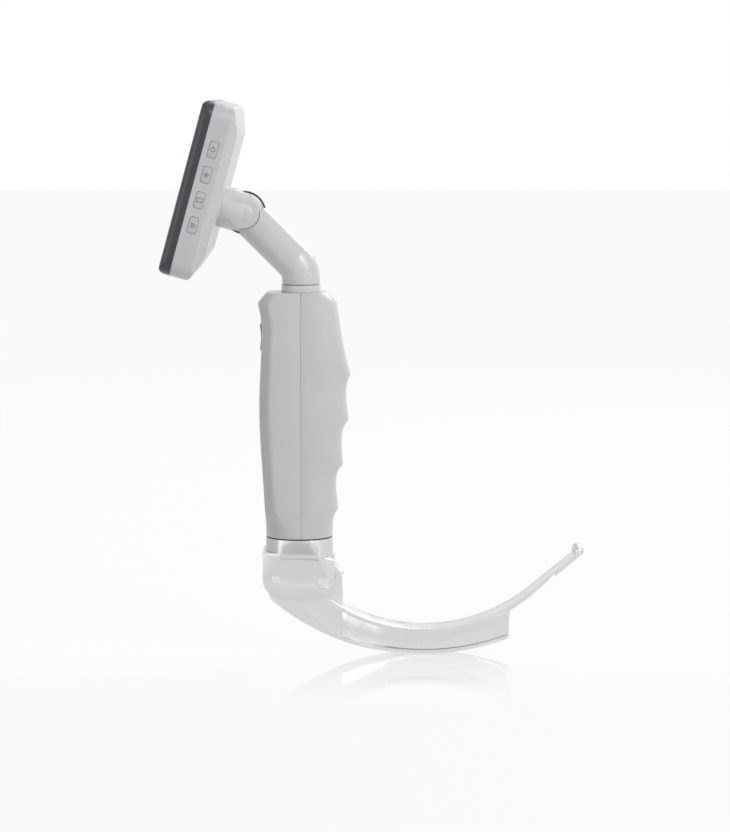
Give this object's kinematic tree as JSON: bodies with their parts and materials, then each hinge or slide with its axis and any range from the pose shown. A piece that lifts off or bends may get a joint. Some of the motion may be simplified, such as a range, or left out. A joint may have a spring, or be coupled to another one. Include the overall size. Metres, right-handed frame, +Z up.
{
  "type": "video laryngoscope",
  "caption": "Handheld video laryngoscope: curved metal blade that folds on its base, finger-grooved grip, swivelling bent neck and a tilting screen with side keys.",
  "frame": {"origin": "centre of the grip, on its long axis", "axes": "+Z up along the grip towards the screen, +X towards the blade's tip, the screen faces -X, +Y to the far side"},
  "size_m": [0.1932, 0.0962, 0.2571],
  "materials": {
    "white_plastic": "smooth satin moulded ABS",
    "black_bezel": "satin black moulded plastic",
    "screen_glass": "polished dark cover glass",
    "dark_plastic": "fine matt moulded plastic",
    "black_nylon": "plain nylon",
    "blasted_metal": "fine bead-blasted stainless steel",
    "polished_steel": "polished stainless steel",
    "circuit_board": "solder resist",
    "brass": "turned brass, plated",
    "cell_wrap": "shrink sleeve",
    "lens_glass": "polished lens",
    "rubber": "plain rubber"
  },
  "bodies": {
    "handle": {"swivel_collar": "white_plastic", "collar_nut": "brass", "handle_rear_shell": "white_plastic", "handle_front_shell": "white_plastic", "power_switch": "black_nylon", "handle_board": "circuit_board", "battery_cradle": "dark_plastic", "battery": "cell_wrap", "battery_contact": "brass", "battery_spring": "brass", "base_gasket": "rubber", "base_block": "blasted_metal", "base_screws": "polished_steel", "hinge_pin": "polished_steel", "stop_pin": "polished_steel", "contact_pin": "brass", "contact_insulator": "black_nylon"},
    "neck": {"neck_arm": "white_plastic", "tilt_washers": "black_nylon", "swivel_washer": "black_nylon", "swivel_retainer": "polished_steel"},
    "screen": {"bezel": "black_bezel", "screen_glass": "screen_glass", "lcd_panel": "dark_plastic", "monitor_shell": "white_plastic", "monitor_board": "circuit_board", "button_board": "circuit_board", "bezel_screws": "polished_steel", "knuckle_screws": "polished_steel", "charge_socket": "black_nylon", "tilt_knuckle": "white_plastic", "tilt_pin": "polished_steel"},
    "key_1": {"screen_button_1": "white_plastic"},
    "key_2": {"screen_button_2": "white_plastic"},
    "key_3": {"screen_button_3": "white_plastic"},
    "key_4": {"screen_button_4": "white_plastic"},
    "power_key": {"power_button": "dark_plastic"},
    "blade": {"blade": "blasted_metal", "hinge_bush": "brass", "contact_pad": "brass", "plunger_spring": "polished_steel", "channel_cover": "blasted_metal", "camera_module": "black_nylon", "camera_window": "lens_glass", "led_lens": "lens_glass"},
    "plunger": {"plunger": "polished_steel"}
  },
  "joints": [
    {"name": "neck_swivel", "type": "hinge", "parent": "handle", "child": "neck", "pos_m": [0, 0, 0.0604], "axis": [0, 0, 1], "range_deg": [-135, 135]},
    {"name": "monitor_tilt", "type": "hinge", "parent": "neck", "child": "screen", "pos_m": [-0.02579, 0, 0.09356], "axis": [0, 1, 0], "range_deg": [-8, 60]},
    {"name": "screen_button_1_press", "type": "slide", "parent": "screen", "child": "key_1", "axis": [0, 1, 0], "range_m": [0, 0.0005], "stiffness_N_per_m": 600, "springref_m": -0.0008},
    {"name": "screen_button_2_press", "type": "slide", "parent": "screen", "child": "key_2", "axis": [0, 1, 0], "range_m": [0, 0.0005], "stiffness_N_per_m": 600, "springref_m": -0.0008},
    {"name": "screen_button_3_press", "type": "slide", "parent": "screen", "child": "key_3", "axis": [0, 1, 0], "range_m": [0, 0.0005], "stiffness_N_per_m": 600, "springref_m": -0.0008},
    {"name": "screen_button_4_press", "type": "slide", "parent": "screen", "child": "key_4", "axis": [0, 1, 0], "range_m": [0, 0.0005], "stiffness_N_per_m": 600, "springref_m": -0.0008},
    {"name": "power_button_press", "type": "slide", "parent": "handle", "child": "power_key", "axis": [1, 0, 0], "range_m": [0, 0.0006], "stiffness_N_per_m": 900, "springref_m": -0.001},
    {"name": "blade_fold", "type": "hinge", "parent": "handle", "child": "blade", "pos_m": [0.0105, 0, -0.0771], "axis": [0, -1, 0], "range_deg": [0, 70]},
    {"name": "plunger_press", "type": "slide", "parent": "blade", "child": "plunger", "axis": [-0.9063, 0, 0.4226], "range_m": [0, 0.002], "stiffness_N_per_m": 800, "springref_m": -0.001}
  ]
}
